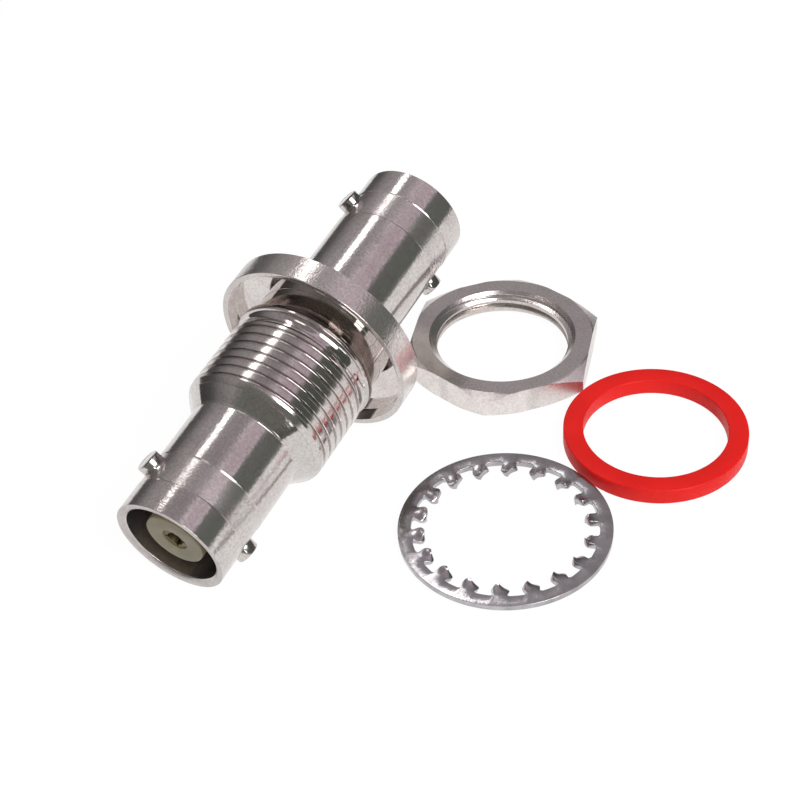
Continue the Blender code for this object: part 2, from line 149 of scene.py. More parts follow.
# Zones of the plate: from and to along the lathe axis, inner and outer radius, all in millimetres, then
# added roughness, coarseness of the grain, and shade, a factor on the plate's colour that is painted light
# where it is above one and painted shade where it is below one
# Painted light on the flange's edge and the seat; painted shade on the flange's rear face, the collar and
# relief, the cone, inside the mouth and on the rim
SHELL_ZONES = (
    (16.1, 18.9, 4.3, 5.0, 0.1, 1.2, 1.0),  # lug band
    (-2.4, -0.02, 8.5, 9.0, 0.08, 2.2, 1.08),  # flange's edge
    (-2.6, -2.2, 4.9, 8.6, 0.04, 0.3, 0.95),  # flange's rear face
    (-1.4, 0.9, 5.0, 8.3, -0.06, 0.08, 1.1),  # seat
    (0.9, 2.7, 5.0, 6.5, -0.05, 0.3, 0.95),  # collar and relief
    (9.5, 10.9, 4.9, 6.5, -0.05, 0.4, 0.95),  # cone
    (15.0, 21.3, 3.0, 4.2, 0.04, 0.3, 0.85),  # mouth
    (21.4, 21.7, 3.9, 4.8, 0.2, 1.6, 0.9),  # rim
)
# Painted shade inside the mouth and on the rim
BARREL_ZONES = (
    (-14.9, -12.1, 4.3, 5.0, 0.1, 1.3, 1.0),  # lug band
    (-17.3, -11.0, 3.0, 4.2, 0.04, 0.3, 0.85),  # mouth
    (-17.7, -17.4, 3.9, 4.8, 0.2, 1.6, 0.9),  # rim
)
# Painted light on the nut's flats and turned corners
NUT_ZONES = (
    (-1.0, 2.36, 7.93, 12.0, 0.12, 1.0, 1.3),  # flats and turned corners
)

# Lamps: name, azimuth and elevation in degrees, side along the adapter and side across it in metres, and
# radiance
LAMP_DISTANCE = 0.5
LAMPS = (
    ("strip lamp", -134, 58, (0.16, 0.07), 4.2),
    ("side lamp", 70, 44, (0.28, 0.28), 6.5),
    ("window", 55, 12, (0.05, 0.12), 4),
    ("top lamp", -25, 72, (0.14, 0.14), 1.7),
)

# The room that the metal mirrors: colours over the sine of the elevation, first towards +Y and then
# towards -Y
ROOM = (
    (
        (0.0, (0.12, 0.12, 0.11)), (0.1, (0.09, 0.105, 0.09)), (0.62, (0.1, 0.11, 0.1)),
        (0.66, (0.78, 0.7, 0.76)), (0.69, (0.56, 0.46, 0.53)), (0.86, (0.56, 0.47, 0.53)),
        (0.895, (0.75, 0.68, 0.73)), (0.93, (0.3, 0.26, 0.28)), (1.0, (0.3, 0.27, 0.29)),
    ),
    (
        (0.0, (0.08, 0.075, 0.075)), (0.2, (0.11, 0.107, 0.108)), (0.4, (0.25, 0.24, 0.245)),
        (0.62, (0.36, 0.345, 0.35)), (0.85, (0.38, 0.355, 0.36)), (0.95, (0.32, 0.295, 0.305)),
        (1.0, (0.3, 0.27, 0.29)),
    ),
)
# Round areas of the room in their own colour: direction, cosines at which they begin and are full, colour
ROOM_AREAS = (
    ((0.93, 0.13, 0.34), 0.68, 0.86, (0.2, 0.207, 0.19)),
    ((-0.65, -0.41, 0.64), 0.95, 0.985, (0.38, 0.35, 0.37)),
)
FLOOR_PLACE = (-0.495, 0.339, 0)
FLOOR_TURN = math.radians(10)
FLOOR_GLOW = 1.04


def foot_of(node):
    """The point on the ground under the middle of a node."""
    low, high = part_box(node)
    middle = (Vector(low) + Vector(high)) / 2
    return Vector((middle.x, middle.y, 0))


def away_at(azimuth, elevation):
    """Unit vector towards an azimuth and an elevation."""
    level = math.cos(elevation)
    return Vector((math.cos(azimuth) * level, math.sin(azimuth) * level, math.sin(elevation)))


# Settings


def length(name, description, millimetres):
    return FloatProperty(
        name=name, description=description, default=millimetres * MM, unit="LENGTH", precision=5
    )


def angle(name, description, degrees):
    return FloatProperty(
        name=name, description=description, default=math.radians(degrees), subtype="ANGLE"
    )


def factor(name, description, value, low=0.0, high=1.0):
    return FloatProperty(
        name=name, description=description, default=value, min=low, max=high, subtype="FACTOR"
    )


def count(name, description, value, low, high):
    return IntProperty(name=name, description=description, default=value, min=low, max=high)


def colour(name, description, value):
    return FloatVectorProperty(
        name=name, description=description, default=value, size=3, min=0, max=1, subtype="COLOR"
    )


class AdapterSizes(bpy.types.PropertyGroup):
    """Sizes of the turned adapter."""

    barrel_radius: length("Barrel radius", "Outside of both bayonet barrels", 4.807)
    band_depth: length("Lug band depth", "How far the band under the lugs lies below the barrel", 0.05)
    bore_radius: length("Mouth bore radius", "Inside of both barrels", 4.06)
    rim_round: length("Rim rounding", "Rounding of the rims", 0.12)
    lug_radius: length("Lug radius", "Radius of a bayonet lug", 1.0)
    lug_top: length("Lug top", "How far a lug reaches from the axis", 5.55)
    flange_radius: length("Flange radius", "Outside of the flange", 8.728)
    lip_wall: length("Lip wall", "Wall around the seat of the sealing ring", 0.5)
    thread_radius: length("Thread radius", "Crest of the shank's thread", 6.25)
    thread_root: length("Thread root", "Root of the shank's thread", 6.07)
    thread_pitch: length("Thread pitch", "Distance between two turns of the thread", 0.907)
    crest_share: factor("Crest share", "Share of the pitch that is flat crest", 0.62, 0.05, 0.8)
    turn_steps: count("Steps", "Faces around a turned piece", 144, 24, 360)


class HardwareSizes(bpy.types.PropertyGroup):
    """Sizes of the loose hardware."""

    nut_flats: length("Nut flats", "Distance between two flats of the nut", 15.9)
    nut_thickness: length("Nut thickness", "Height of the nut as it lies", 2.4)
    nut_turn: angle("Nut turn", "Turn of the nut on the ground", 17)
    washer_radius: length("Washer radius", "Outside of the lock washer", 8.62)
    washer_root: length("Tooth root", "Radius at which the teeth leave the washer's rim", 7.56)
    washer_tip: length("Tooth tip", "Radius at which the teeth end", 6.48)
    washer_thickness: length("Washer thickness", "Thickness of the washer's sheet", 0.5)
    tooth_count: count("Teeth", "Teeth inside the washer", 18, 3, 60)
    tooth_twist: angle("Tooth twist", "Turn of a tooth out of the washer's plane", -32)
    washer_turn: angle("Washer turn", "Turn of the washer on the ground", 4.1)
    ring_radius: length("Ring radius", "Outside of the sealing ring", 7.74)
    ring_bore: length("Ring bore", "Inside radius of the sealing ring", 6.06)
    ring_thickness: length("Ring thickness", "Height of the sealing ring as it lies", 1.48)


class FinishColours(bpy.types.PropertyGroup):
    """Colours of the finishes."""

    nickel: colour("Nickel plate", "Bright plate on the adapter and the nut", (0.65, 0.61, 0.585))
    steel: colour("Washer steel", "Dull plate on the lock washer", (0.54, 0.515, 0.53))
    silicone: colour("Silicone", "Sealing ring", (0.9, 0.01, 0.006))
    # The insulator's dark olive grey is partly the plastic's own tone and partly painted shade of the deep
    # bore
    insulator: colour("Insulator", "Bushes that hold the centre contact", (0.4, 0.365, 0.255))
    # The gold is darkened to a dull brown: painted shade of the deep bore
    gold: colour("Gold flash", "Centre contact", (0.19, 0.15, 0.08))


class StageSettings(bpy.types.PropertyGroup):
    """Camera, floor and lamps."""

    lens: FloatProperty(
        name="Lens", description="Focal length on a 36 mm sensor", default=74.59, min=10, unit="CAMERA"
    )
    roll: angle("Roll", "Roll of the camera", -4.17)
    distance: length("Distance", "From the camera to the point it looks at", 146.04)
    azimuth: angle("Azimuth", "Direction in which the camera stands", 32.56)
    elevation: angle("Elevation", "Height of the camera above the floor", 40.54)
    aim: FloatVectorProperty(
        name="Aim", description="Point on the floor that the camera looks at",
        default=(-5.021 * MM, -8.329 * MM, 0), size=3, unit="LENGTH", precision=5,
    )
    shadow_share: factor("Shadow share", "How much of the floor's white the lamps make", 0.08)


# Bench work


def deselect():
    if bpy.context.object and bpy.context.object.mode != "OBJECT":
        bpy.ops.object.mode_set(mode="OBJECT")
    bpy.ops.object.select_all(action="DESELECT")


def take(item):
    """Makes one object the only selected and the active one."""
    deselect()
    item.select_set(True)
    bpy.context.view_layer.objects.active = item


def drawn(name, points, closed):
    """Draws a chain of edges, point by point, and stays in edit mode with all of it selected."""
    deselect()
    bpy.ops.mesh.primitive_plane_add(size=MM)
    item = bpy.context.object
    item.name = item.data.name = name
    bpy.ops.object.mode_set(mode="EDIT")
    bpy.ops.mesh.select_mode(type="VERT")
    bpy.ops.mesh.select_all(action="SELECT")
    bpy.ops.mesh.merge(type="CENTER")
    bpy.ops.transform.translate(value=points[0])
    ends = points[1:] + points[:1] if closed else points[1:]
    for start, end in zip(points, ends):
        bpy.ops.mesh.extrude_vertices_move(TRANSFORM_OT_translate={"value": end - start})
    bpy.ops.mesh.select_all(action="SELECT")
    return item


def clean(item):
    """Merges the seam and the poles and turns the faces outwards."""
    take(item)
    bpy.ops.object.mode_set(mode="EDIT")
    bpy.ops.mesh.select_all(action="SELECT")
    bpy.ops.mesh.remove_doubles(threshold=WELD)
    bpy.ops.mesh.normals_make_consistent(inside=False)
    bpy.ops.object.mode_set(mode="OBJECT")
    return item


def turned(name, outline, steps, closed=True):
    """Spins an outline once around the lathe axis."""
    item = drawn(name, [Vector((radius, 0, station)) for radius, station in outline], closed)
    bpy.ops.mesh.spin(steps=steps, angle=2 * math.pi, center=(0, 0, 0), axis=(0, 0, 1))
    return clean(item)


def add_modifier(item, kind, **settings):
    take(item)
    bpy.ops.object.modifier_add(type=kind)
    modifier = item.modifiers[-1]
    for name, value in settings.items():
        setattr(modifier, name, value)
    bpy.ops.object.modifier_apply(modifier=modifier.name)


def round_edges(item, width, segments=2, angle=math.radians(28)):
    add_modifier(item, "BEVEL", width=width, segments=segments, limit_method="ANGLE", angle_limit=angle)


def combine(item, tool, operation):
    """Joins, cuts or keeps what is common, and throws the tool away."""
    add_modifier(item, "BOOLEAN", operation=operation, object=tool, solver="EXACT")
    take(tool)
    bpy.ops.object.delete()
    take(item)


def lay(item, turn, place):
    """Turns a finished piece and puts it in its place."""
    take(item)
    item.rotation_euler = turn
    item.location = place
    bpy.ops.object.transform_apply(location=True, rotation=True, scale=True)


def smooth(item, angle=math.radians(30)):
    """Smooth across small angles, with flat faces kept flat."""
    take(item)
    bpy.ops.object.shade_smooth_by_angle(angle=angle)
    add_modifier(item, "WEIGHTED_NORMAL", keep_sharp=True, weight=70)


def hand_over(item, material, slot, *nodes):
    """Gives a piece its finish and its body, and hides the solids it stands for."""
    item.data.materials.clear()
    item.data.materials.append(material)
    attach(item, "root")
    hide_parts(*nodes)


def lay_along(item):
    lay(item, ADAPTER_TURN, FLANGE_CENTRE)


# Outlines of the adapter


def mouth_of(way):
    return FRONT_REACH if way > 0 else -REAR_REACH


def barrel_outside(sizes, way):
    """From the mouth to the rear of the lug band."""
    mouth = mouth_of(way)
    band = sizes.barrel_radius - sizes.band_depth
    return [
        (sizes.bore_radius + RIM_SLOPE, mouth),
        (sizes.barrel_radius, mouth),
        (sizes.barrel_radius, mouth - way * BAND_FRONT),
        (band, mouth - way * (BAND_FRONT + BAND_STEP)),
        (band, mouth - way * (BAND_REAR - BAND_STEP)),
        (sizes.barrel_radius, mouth - way * BAND_REAR),
    ]


def barrel_inside(sizes, way):
    """From the core bore out to the mouth."""
    mouth = mouth_of(way)
    return [
        (CORE_RADIUS, mouth - way * NECK_DEPTH),
        (NECK_RADIUS, mouth - way * NECK_DEPTH),
        (NECK_RADIUS, mouth - way * MOUTH_DEPTH),
        (sizes.bore_radius, mouth - way * MOUTH_DEPTH),
        (sizes.bore_radius, mouth - way * RIM_SETBACK),
    ]


def lugs(sizes, way, name):
    """Two pins across a barrel, modelled once and copied."""
    radius, top = sizes.lug_radius, sizes.lug_top
    outline = [(0, LUG_ROOT), (radius, LUG_ROOT), (radius, top), (0, top)]
    lug = turned(name, outline, LUG_STEPS, closed=False)
    round_edges(lug, LUG_ROUND)
    smooth(lug)
    lay(lug, (0, math.pi / 2, 0), (0, 0, mouth_of(way) - way * LUG_SETBACK))
    lay(lug, (0, 0, LUG_ANGLE), (0, 0, 0))
    bpy.ops.object.mode_set(mode="EDIT")
    bpy.ops.mesh.select_all(action="SELECT")
    bpy.ops.mesh.duplicate()
    bpy.ops.transform.rotate(value=math.pi, orient_axis="Z", center_override=(0, 0, 0))
    bpy.ops.object.mode_set(mode="OBJECT")
    return lug


def threaded(name, crest, root, pitch, crest_share, start, steps, low, high, core):
    """A sleeve with a crest at the start station, closed inside at the core radius.

    Its low and high ends are each a (station, chamfer's length, chamfer's radius). The screw is made longer,
    cut square at both ends and then turned down to the chamfers.
    """
    flank = (crest - root) * math.tan(FLANK_SLOPE)
    crest_flat = crest_share * pitch
    root_flat = pitch - 2 * flank - crest_flat
    crown = THREAD_CROWN
    rise = root_flat + flank
    profile = [
        (root, 0), (root, root_flat), (crest - crown, rise - crown / 2), (crest, rise + crown),
        (crest, rise + crest_flat / 2), (crest, rise + crest_flat - crown),
        (crest - crown, rise + crest_flat + crown / 2), (root, pitch),
    ]
    start -= rise + crest_flat / 2
    turns = math.ceil((high[0] - start) / pitch) + 1
    item = drawn(name, [Vector((radius, 0, start + height)) for radius, height in profile], False)
    add_modifier(
        item, "SCREW", axis="Z", angle=2 * math.pi, screw_offset=pitch, iterations=turns,
        steps=steps, render_steps=steps, use_merge_vertices=False,
    )
    clean(item)
    bpy.ops.object.mode_set(mode="EDIT")
    for station, inner in ((low[0], True), (high[0], False)):
        bpy.ops.mesh.select_all(action="SELECT")
        bpy.ops.mesh.bisect(
            plane_co=(0, 0, station), plane_no=(0, 0, 1), clear_inner=inner, clear_outer=not inner,
            threshold=1e-9,
        )
    bpy.ops.object.mode_set(mode="OBJECT")
    for vertex in item.data.vertices:
        radius = math.hypot(vertex.co.x, vertex.co.y)
        ceiling = crest
        for end, inward in ((low, vertex.co.z - low[0]), (high, high[0] - vertex.co.z)):
            run, end_radius = end[1:]
            if run and inward < run:
                ceiling = min(ceiling, end_radius + (crest - end_radius) * inward / run)
        if radius > ceiling:
            vertex.co.x *= ceiling / radius
            vertex.co.y *= ceiling / radius
    bpy.ops.object.mode_set(mode="EDIT")
    bpy.ops.mesh.select_all(action="DESELECT")
    bpy.ops.mesh.select_non_manifold()
    bpy.ops.mesh.extrude_edges_move(TRANSFORM_OT_translate={"value": (0, 0, 0)})
    share = core / crest
    bpy.ops.transform.resize(value=(share, share, 1), center_override=(0, 0, 0))
    if core:
        bpy.ops.mesh.bridge_edge_loops()
    bpy.ops.object.mode_set(mode="OBJECT")
    return clean(item)


# Finishes


class Nodes:
    """Adds and joins nodes in one tree."""

    def __init__(self, tree):
        self.tree = tree

    def feed(self, socket, value):
        """Gives an input a value: another node's output, a number or a colour."""
        if isinstance(value, bpy.types.NodeSocket):
            self.tree.links.new(value, socket)
        elif socket.type == "RGBA":
            socket.default_value = (*value[:3], 1)
        else:
            socket.default_value = value

    def add(self, kind, values=None, **settings):
        node = self.tree.nodes.new(kind)
        for name, value in settings.items():
            setattr(node, name, value)
        for name, value in (values or {}).items():
            self.feed(node.inputs[name], value)
        return node

    def math(self, operation, first, second=0.0, clamp=False):
        node = self.add("ShaderNodeMath", {0: first, 1: second}, operation=operation, use_clamp=clamp)
        return node.outputs[0]

    def between(self, value, low, high, out_low=0.0, out_high=1.0):
        """A soft step from one value to another."""
        node = self.add(
            "ShaderNodeMapRange",
            {"Value": value, "From Min": low, "From Max": high, "To Min": out_low, "To Max": out_high},
            interpolation_type="SMOOTHSTEP",
        )
        return node.outputs["Result"]

    def blend(self, share, first, second):
        """A mix of two colours."""
        node = self.add("ShaderNodeMix", data_type="RGBA")
        for index, value in ((0, share), (6, first), (7, second)):
            self.feed(node.inputs[index], value)
        return node.outputs[2]


def group(name, inputs, outputs):
    """Starts a shader group: its node maker, the sockets it is given and the sockets it gives."""
    tree = bpy.data.node_groups.new(name, "ShaderNodeTree")
    kinds = {"vector": "NodeSocketVector", "value": "NodeSocketFloat"}
    for label, kind, default in inputs:
        socket = tree.interface.new_socket(name=label, in_out="INPUT", socket_type=kinds[kind])
        if default is not None:
            socket.default_value = default
    for label, kind in outputs:
        tree.interface.new_socket(name=label, in_out="OUTPUT", socket_type=kinds[kind])
    make = Nodes(tree)
    return make, make.add("NodeGroupInput").outputs, make.add("NodeGroupOutput").inputs


def lathe_marks_group():
    """Fine rings left by the tool, as a height that changes along the lathe axis only."""
    make, given, out = group(
        "Lathe marks",
        [("Position", "vector", None), ("Lines per millimetre", "value", 8.0)],
        [("Height", "value")],
    )
    parts = make.add("ShaderNodeSeparateXYZ", {"Vector": given["Position"]}).outputs
    station = make.math("MULTIPLY", parts["Z"], make.math("MULTIPLY", given["Lines per millimetre"], 1000.0))
    slow = make.math("MULTIPLY", station, 0.13)
    fine, broad = (
        make.add("ShaderNodeTexNoise", {"Scale": 1.0, **values}, noise_dimensions="1D").outputs[0]
        for values in ({"W": station, "Detail": 3.0, "Roughness": 0.6}, {"W": slow, "Detail": 1.0})
    )
    make.feed(out["Height"], make.math("ADD", fine, make.math("MULTIPLY", broad, 0.6)))
    return make.tree


def grain_group():
    """Grain of a surface: a fine height, a broad value for smudges, and small pits."""
    make, given, out = group(
        "Plating grain",
        [("Position", "vector", None), ("Grain size", "value", 0.12), ("Smudge size", "value", 3.0)],
        [("Height", "value"), ("Smudge", "value"), ("Pits", "value")],
    )
    where = {"Vector": given["Position"]}
    scale = make.math("DIVIDE", 1000.0, given["Grain size"])
    broad = make.math("DIVIDE", 1000.0, given["Smudge size"])
    fine = make.add("ShaderNodeTexNoise", {**where, "Scale": scale, "Detail": 2.0, "Roughness": 0.55})
    smudge = make.add("ShaderNodeTexNoise", {**where, "Scale": broad, "Detail": 4.0, "Roughness": 0.6})
    pits = make.add("ShaderNodeTexVoronoi", {**where, "Scale": make.math("MULTIPLY", scale, 0.3)})
    make.feed(out["Height"], fine.outputs[0])
    make.feed(out["Smudge"], smudge.outputs[0])
    make.feed(out["Pits"], make.between(pits.outputs["Distance"], 0.08, 0.2, 1.0, 0.0))
    return make.tree


def zone_group():
    """A mask that is one between two stations and between two radii of the lathe axis, in millimetres."""
    make, given, out = group(
        "Lathe zone",
        [
            ("Position", "vector", None), ("From", "value", -100.0), ("To", "value", 100.0),
            ("Inner", "value", -1.0), ("Outer", "value", 100.0), ("Soft edge", "value", 0.06),
        ],
        [("Mask", "value")],
    )
    parts = make.add("ShaderNodeSeparateXYZ", {"Vector": given["Position"]}).outputs
    flat = make.add("ShaderNodeCombineXYZ", {"X": parts["X"], "Y": parts["Y"]}).outputs["Vector"]
    radius = make.add("ShaderNodeVectorMath", {0: flat}, operation="LENGTH").outputs["Value"]
    mask = 1.0
    for value, low, high in ((parts["Z"], "From", "To"), (radius, "Inner", "Outer")):
        value = make.math("MULTIPLY", value, 1000.0)
        above = make.math("DIVIDE", make.math("SUBTRACT", value, given[low]), given["Soft edge"], clamp=True)
        below = make.math("DIVIDE", make.math("SUBTRACT", given[high], value), given["Soft edge"], clamp=True)
        mask = make.math("MULTIPLY", make.math("MULTIPLY", above, below), mask)
    make.feed(out["Mask"], mask)
    return make.tree


def shared(name, maker):
    """A node group that is made once and used by several finishes."""
    return bpy.data.node_groups.get(name) or maker()


def finish(name):
    """A material, its node maker and its shader."""
    material = bpy.data.materials.new(name)
    material.use_nodes = True
    make = Nodes(material.node_tree)
    return material, make, material.node_tree.nodes["Principled BSDF"]


def use(make, tree, values):
    """A group's outputs for the values of its inputs."""
    node = make.add("ShaderNodeGroup", node_tree=tree)
    for name, value in values.items():
        make.feed(node.inputs[name], value)
    return node.outputs


def position(make, place, turn):
    """Object coordinates, centred on a piece and turned so that Z is its lathe axis."""
    source = make.add("ShaderNodeTexCoord").outputs["Object"]
    values = {"Vector": source, "Location": place, "Rotation": turn}
    return make.add("ShaderNodeMapping", values, vector_type="TEXTURE").outputs["Vector"]


def grain_at(make, where, grain_size, smudge_size):
    values = {"Position": where, "Grain size": grain_size, "Smudge size": smudge_size}
    return use(make, shared("Plating grain", grain_group), values)


def bump(make, shader, height, distance):
    node = make.add("ShaderNodeBump", {"Height": height, "Distance": distance, "Strength": 1.0})
    make.feed(shader.inputs["Normal"], node.outputs["Normal"])


def plain_finish(name, place, turn, fresh, worn, sizes, roughness, relief, wear=None, pitted=False):
    """A finish that goes from fresh to worn over broad smudges, with a fine grain in relief.

    Sizes are those of the grain and the smudges, in millimetres. Wear is the range of the smudges over which
    the worn colour takes over. Roughness is a range of the smudges, and then the roughness at its ends.
    """
    material, make, shader = finish(name)
    grain = grain_at(make, position(make, place, turn), *sizes)
    share = make.between(grain["Smudge"], *wear) if wear else grain["Smudge"]
    make.feed(shader.inputs["Base Color"], make.blend(share, fresh, worn))
    make.feed(shader.inputs["Roughness"], make.between(grain["Smudge"], *roughness))
    height = make.math("ADD", grain["Height"], grain["Pits"]) if pitted else grain["Height"]
    bump(make, shader, height, relief)
    return material, shader


def nickel_finish(name, place, turn, zones=(), base_roughness=0.09, coarseness=1.0, bare=0.0):
    """Bright nickel on turned brass, with a thin haze that is gone where it is bare or a zone is polished."""
    colours = bpy.context.scene.adapter_colours
    material, make, shader = finish(name)
    where = position(make, place, turn)
    grain = grain_at(make, where, grain_size=0.22, smudge_size=2.2)
    marks = use(
        make, shared("Lathe marks", lathe_marks_group), {"Position": where, "Lines per millimetre": 7.0}
    )
    roughness = make.between(grain["Smudge"], 0.3, 0.75, base_roughness, base_roughness + 0.06)
    roughness = make.math("ADD", roughness, make.math("MULTIPLY", grain["Height"], 0.05))
    depth = make.between(grain["Smudge"], 0.25, 0.7, 0.6 * coarseness, 1.2 * coarseness)
    # Shade is the grain's random tone, which each zone below multiplies by its painted light and shade
    shade = make.between(grain["Height"], 0.3, 0.75, 1.04, 0.84)
    clear = 0.0
    for low, high, inner, outer, added, coarse, painted_light_and_shade in zones:
        bounds = {"Position": where, "From": low, "To": high, "Inner": inner, "Outer": outer}
        mask = use(make, shared("Lathe zone", zone_group), bounds)["Mask"]
        roughness = make.math("ADD", roughness, make.math("MULTIPLY", mask, added))
        if added < 0:
            clear = make.math("MAXIMUM", mask, clear)
        depth = make.math("MULTIPLY", depth, make.between(mask, 0, 1, 1, coarse))
        # Painted light and painted shade of the zone, laid on the plate's colour
        shade = make.math("MULTIPLY", shade, make.between(mask, 0, 1, 1, painted_light_and_shade))
    make.feed(shader.inputs["Roughness"], make.math("MAXIMUM", roughness, 0.03, clamp=True))
    plate = tuple(colours.nickel)
    aged = (0.88 * plate[0], 0.84 * plate[1], 0.86 * plate[2])
    tint = make.blend(make.between(grain["Smudge"], 0.35, 0.8), plate, aged)
    scaled = make.add("ShaderNodeVectorMath", {0: tint, "Scale": shade}, operation="SCALE")
    make.feed(shader.inputs["Base Color"], scaled.outputs[0])
    metal = make.between(make.math("MAXIMUM", clear, bare), 0, 1, 0.92, 1)
    make.feed(shader.inputs["Metallic"], metal)
    height = make.math("ADD", make.math("MULTIPLY", marks["Height"], 0.5), grain["Height"])
    bump(make, shader, make.math("MULTIPLY", height, depth), distance=0.009 * MM)
    return material


def bright_finish(name, base_roughness):
    """Nickel on the small turned forms of the adapter, smoother and without haze."""
    return nickel_finish(
        name, FLANGE_CENTRE, ADAPTER_TURN, base_roughness=base_roughness, coarseness=0.2, bare=1.0
    )


# Operators


class ADAPTER_OT_front_shell(bpy.types.Operator):
    """Flange, threaded shank and front barrel with its lugs"""

    bl_idname = "adapter.front_shell"
    bl_label = "Front shell"

    def execute(self, context):
        sizes = context.scene.adapter_sizes
        seat, edge = sizes.flange_radius - sizes.lip_wall, sizes.flange_radius
        shank = [(radius * MM, station * MM) for radius, station in SHANK_OUTLINE]
        flange = [
            (SHANK_FOOT, -SEAT_DEPTH), (seat, -SEAT_DEPTH), (seat, 0), (edge, 0), (edge, -FLANGE_THICKNESS),
            (SPIGOT_HOLE, -FLANGE_THICKNESS), (SPIGOT_HOLE, SPIGOT_STOP), (CORE_RADIUS, SPIGOT_STOP),
        ]
        outside = [*barrel_outside(sizes, 1), (sizes.barrel_radius, CONE_FRONT), *shank, *flange]
        shell = turned("front_shell_turned", outside + barrel_inside(sizes, 1), sizes.turn_steps)
        round_edges(shell, sizes.rim_round, 3)
        smooth(shell)
        lay_along(shell)
        nickel = nickel_finish("Nickel plate on the front shell", FLANGE_CENTRE, ADAPTER_TURN, SHELL_ZONES)
        hand_over(shell, nickel, "nickel_plate", "front_shell")
        thread = threaded(
            "shank_thread", sizes.thread_radius, sizes.thread_root, sizes.thread_pitch, sizes.crest_share,
            CREST_STATION, THREAD_STEPS, THREAD_REAR, THREAD_FRONT, THREAD_CORE,
        )
        smooth(thread, angle=math.radians(20))
        lay_along(thread)
        bright = bright_finish("Nickel plate on the thread", 0.11)
        hand_over(thread, bright, "nickel_plate", "front_shell")
        pins = lugs(sizes, 1, "front_lugs")
        lay_along(pins)
        hand_over(pins, bright, "nickel_plate", "front_shell")
        return {"FINISHED"}


class ADAPTER_OT_rear_barrel(bpy.types.Operator):
    """Rear barrel with its lugs"""

    bl_idname = "adapter.rear_barrel"
    bl_label = "Rear barrel"

    def execute(self, context):
        sizes = context.scene.adapter_sizes
        spigot = [
            (sizes.barrel_radius, -SPIGOT_SHOULDER), (SPIGOT_RADIUS, -SPIGOT_SHOULDER),
            (SPIGOT_RADIUS, SPIGOT_END), (CORE_RADIUS, SPIGOT_END),
        ]
        outline = barrel_outside(sizes, -1) + spigot + barrel_inside(sizes, -1)
        barrel = turned("rear_barrel_turned", outline, sizes.turn_steps)
        round_edges(barrel, sizes.rim_round, 3)
        smooth(barrel)
        lay_along(barrel)
        nickel = nickel_finish("Nickel plate on the rear barrel", FLANGE_CENTRE, ADAPTER_TURN, BARREL_ZONES)
        hand_over(barrel, nickel, "nickel_plate", "rear_barrel")
        pins = lugs(sizes, -1, "rear_lugs")
        lay_along(pins)
        bright = bright_finish("Nickel plate on the rear lugs", 0.06)
        hand_over(pins, bright, "nickel_plate", "rear_barrel")
        return {"FINISHED"}


class ADAPTER_OT_insulators(bpy.types.Operator):
    """Two bushes with a nose in each mouth"""

    bl_idname = "adapter.insulators"
    bl_label = "Insulators"

    def execute(self, context):
        # The bushes' dark olive grey is partly the plastic's own tone and partly painted shade of the deep
        # bore
        fresh = tuple(context.scene.adapter_colours.insulator)
        material, shader = plain_finish(
            "Fluoropolymer", FLANGE_CENTRE, ADAPTER_TURN, fresh, tuple(0.8 * part for part in fresh),
            sizes=(0.1, 1.4), roughness=(0.2, 0.8, 0.42, 0.6), relief=0.004 * MM,
        )
        shader.inputs["Subsurface Weight"].default_value = 1
        shader.inputs["Subsurface Radius"].default_value = (1.0, 0.85, 0.6)
        shader.inputs["Subsurface Scale"].default_value = 2.5 * MM
        for name, way in (("front_insulator", 1), ("rear_insulator", -1)):
            mouth = mouth_of(way)
            tip, shoulder = mouth - way * NOSE_RECESS, mouth - way * SHOULDER_DEPTH
            middle = BUSH_MEETING + way * BUSH_GAP
            pocket = middle + way * POCKET_DEPTH
            outline = [
                (BUSH_BORE, tip), (NOSE_RADIUS, tip), (NOSE_RADIUS, shoulder), (BUSH_RADIUS, shoulder),
                (BUSH_RADIUS, middle), (POCKET_RADIUS, middle), (POCKET_RADIUS, pocket), (BUSH_BORE, pocket),
            ]
            bush = turned(f"{name}_bush", outline, BUSH_STEPS)
            round_edges(bush, BUSH_ROUND, 3)
            smooth(bush)
            lay_along(bush)
            hand_over(bush, material, "insulator", name)
        return {"FINISHED"}


class ADAPTER_OT_centre_contact(bpy.types.Operator):
    """A pin with a slotted socket at each end"""

    bl_idname = "adapter.centre_contact"
    bl_label = "Centre contact"

    def execute(self, context):
        front, rear = FRONT_REACH - PIN_RECESS, PIN_RECESS - REAR_REACH
        outline = [
            (0, front - SOCKET_DEPTH), (SOCKET_RADIUS, front - SOCKET_DEPTH), (SOCKET_RADIUS, front),
            (PIN_RADIUS, front), (PIN_RADIUS, PIN_COLLAR_FRONT), (PIN_COLLAR, PIN_COLLAR_FRONT),
            (PIN_COLLAR, PIN_COLLAR_REAR), (PIN_RADIUS, PIN_COLLAR_REAR), (PIN_RADIUS, rear),
            (SOCKET_RADIUS, rear), (SOCKET_RADIUS, rear + SOCKET_DEPTH), (0, rear + SOCKET_DEPTH),
        ]
        contact = turned("centre_contact_pin", outline, PIN_STEPS, closed=False)
        for middle in (front - SLOT_MIDDLE, rear + SLOT_MIDDLE):
            for turn in (0, math.pi / 2):
                deselect()
                bpy.ops.mesh.primitive_cube_add(size=1, location=(0, 0, middle), rotation=(0, 0, turn))
                saw = bpy.context.object
                saw.scale = (SAW_REACH, SLOT_WIDTH, SLOT_LENGTH)
                bpy.ops.object.transform_apply(location=True, rotation=True, scale=True)
                combine(contact, saw, "DIFFERENCE")
        round_edges(contact, PIN_ROUND)
        smooth(contact)
        lay_along(contact)
        # The contact's dull brown gold, fresh and worn, is painted shade of the deep bore
        material, shader = plain_finish(
            "Gold flash", FLANGE_CENTRE, ADAPTER_TURN, tuple(context.scene.adapter_colours.gold),
            (0.17, 0.14, 0.08), sizes=(0.08, 0.9), roughness=(0.2, 0.8, 0.42, 0.55), relief=0.002 * MM,
        )
        shader.inputs["Metallic"].default_value = 1
        hand_over(contact, material, "gold_contact", "centre_contact")
        return {"FINISHED"}


